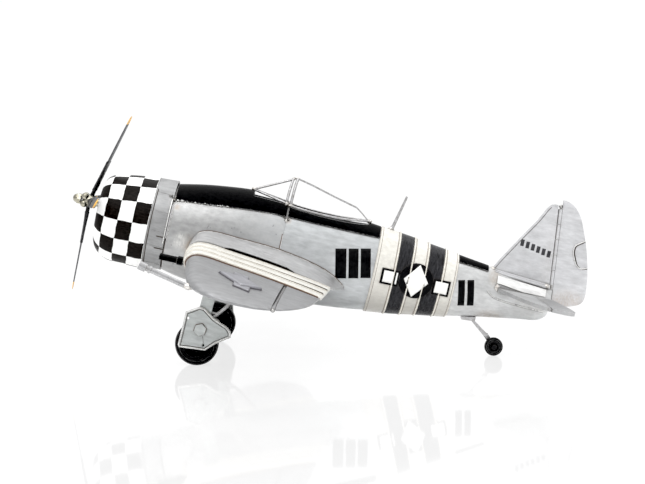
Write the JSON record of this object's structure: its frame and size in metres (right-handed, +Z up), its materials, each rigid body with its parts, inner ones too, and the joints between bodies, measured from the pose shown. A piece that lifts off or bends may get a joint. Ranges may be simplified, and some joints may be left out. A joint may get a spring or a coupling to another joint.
{
  "type": "propeller plane model",
  "caption": "Hand-made sheet-metal desk model of a radial-engined propeller fighter on its wheels, with turning propeller and wheels and hinged rudder, elevators and ailerons.",
  "frame": {"origin": "on the ground in the symmetry plane, under the line of the main wheel axles", "axes": "+X aft, +Y starboard (span), +Z up; the model stands nose-up on its three wheels"},
  "size_m": [0.2777, 0.31, 0.1264],
  "materials": {
    "silver_paint": "hand-sprayed silver lacquer on tinplate, satin",
    "black_enamel": "hand-brushed black enamel, semi-gloss",
    "white_enamel": "hand-brushed cream-white enamel, semi-gloss",
    "chequered_enamel": "black and white chequers, gloss enamel",
    "tyre_black": "black painted solid wheel, satin",
    "blade_black": "black enamel with yellow tips on the blades",
    "plated_steel": "nickel-plated, slightly yellowed",
    "steel_wire": "drawn wire",
    "brass": "turned",
    "bright_metal": "soldered bright wire and strip",
    "engine_grey": "dark grey, satin"
  },
  "bodies": {
    "airframe": {"aileron_hinge_pins": "steel_wire", "antenna_mast": "bright_metal", "canopy_frame": "bright_metal", "cockpit_floor": "silver_paint", "cover_bolts_and_spacers": "plated_steel", "cowl_flap_band": "silver_paint", "cowl_ring": "chequered_enamel", "engine_bulkhead": "engine_grey", "engine_crankcase": "engine_grey", "engine_cylinders": "engine_grey", "fin": "silver_paint", "front_deck": "black_enamel", "fuselage_band_1": "white_enamel", "fuselage_band_2": "black_enamel", "fuselage_band_3": "white_enamel", "fuselage_band_4": "black_enamel", "fuselage_band_5": "white_enamel", "fuselage_front_shell": "silver_paint", "fuselage_mid_shell": "silver_paint", "fuselage_tail_shell": "silver_paint", "gear_braces": "bright_metal", "gun_barrels": "blade_black", "pitot_tube": "bright_metal", "port_gear_leg": "silver_paint", "port_stabiliser": "silver_paint", "port_wheel_cover": "silver_paint", "port_wing_bands": "white_enamel", "port_wing_root_fairing": "silver_paint", "port_wing_skin": "silver_paint", "rear_deck": "black_enamel", "rudder_hinge_pin": "steel_wire", "shaft_bush": "brass", "starboard_gear_leg": "silver_paint", "starboard_stabiliser": "silver_paint", "starboard_wheel_cover": "silver_paint", "starboard_wing_bands": "white_enamel", "starboard_wing_root_fairing": "silver_paint", "starboard_wing_skin": "silver_paint", "tail_deck": "black_enamel", "tail_fillet_plates": "silver_paint", "tail_wheel_strut": "silver_paint", "wheel_axles": "plated_steel", "windscreen_frame": "bright_metal", "wing_emblem_plates": "silver_paint"},
    "propeller": {"propeller_shaft": "steel_wire", "propeller_hub": "plated_steel", "propeller_nut": "plated_steel", "propeller_blade_1": "blade_black", "propeller_blade_2": "blade_black", "propeller_blade_3": "blade_black", "propeller_blade_4": "blade_black"},
    "port_wheel": {"port_wheel": "tyre_black"},
    "starboard_wheel": {"starboard_wheel": "tyre_black"},
    "tail_wheel": {"tail_wheel": "tyre_black"},
    "rudder": {"rudder": "silver_paint"},
    "elevators": {"port_elevator": "silver_paint", "starboard_elevator": "silver_paint", "elevator_torque_wire": "steel_wire"},
    "port_aileron": {"port_aileron": "silver_paint"},
    "starboard_aileron": {"starboard_aileron": "silver_paint"}
  },
  "joints": [
    {"name": "propeller_spin", "type": "hinge", "parent": "airframe", "child": "propeller", "pos_m": [-0.06244, 0, 0.08101], "axis": [0.9789, 0, -0.2045], "continuous": true},
    {"name": "port_wheel_spin", "type": "hinge", "parent": "airframe", "child": "port_wheel", "pos_m": [-0.0026, -0.0392, 0.0111], "axis": [0, 1, 0], "continuous": true},
    {"name": "starboard_wheel_spin", "type": "hinge", "parent": "airframe", "child": "starboard_wheel", "pos_m": [0.0026, 0.0392, 0.0111], "axis": [0, 1, 0], "continuous": true},
    {"name": "tail_wheel_spin", "type": "hinge", "parent": "airframe", "child": "tail_wheel", "pos_m": [0.1549, 0, 0.00495], "axis": [0, 1, 0], "continuous": true},
    {"name": "rudder_hinge", "type": "hinge", "parent": "airframe", "child": "rudder", "pos_m": [0.18948, 0, 0.0815], "axis": [0.0978, 0, 0.9952], "range_deg": [-20, 20]},
    {"name": "elevator_hinge", "type": "hinge", "parent": "airframe", "child": "elevators", "pos_m": [0.17473, 0, 0.03289], "axis": [0, 1, 0], "range_deg": [-15, 20]},
    {"name": "port_aileron_hinge", "type": "hinge", "parent": "airframe", "child": "port_aileron", "pos_m": [0.04237, -0.0858, 0.04481], "axis": [0.065, 0.9976, 0.0226], "range_deg": [-18, 18]},
    {"name": "starboard_aileron_hinge", "type": "hinge", "parent": "airframe", "child": "starboard_aileron", "pos_m": [0.04237, 0.0858, 0.04481], "axis": [-0.065, 0.9976, -0.0226], "range_deg": [-18, 18]}
  ]
}
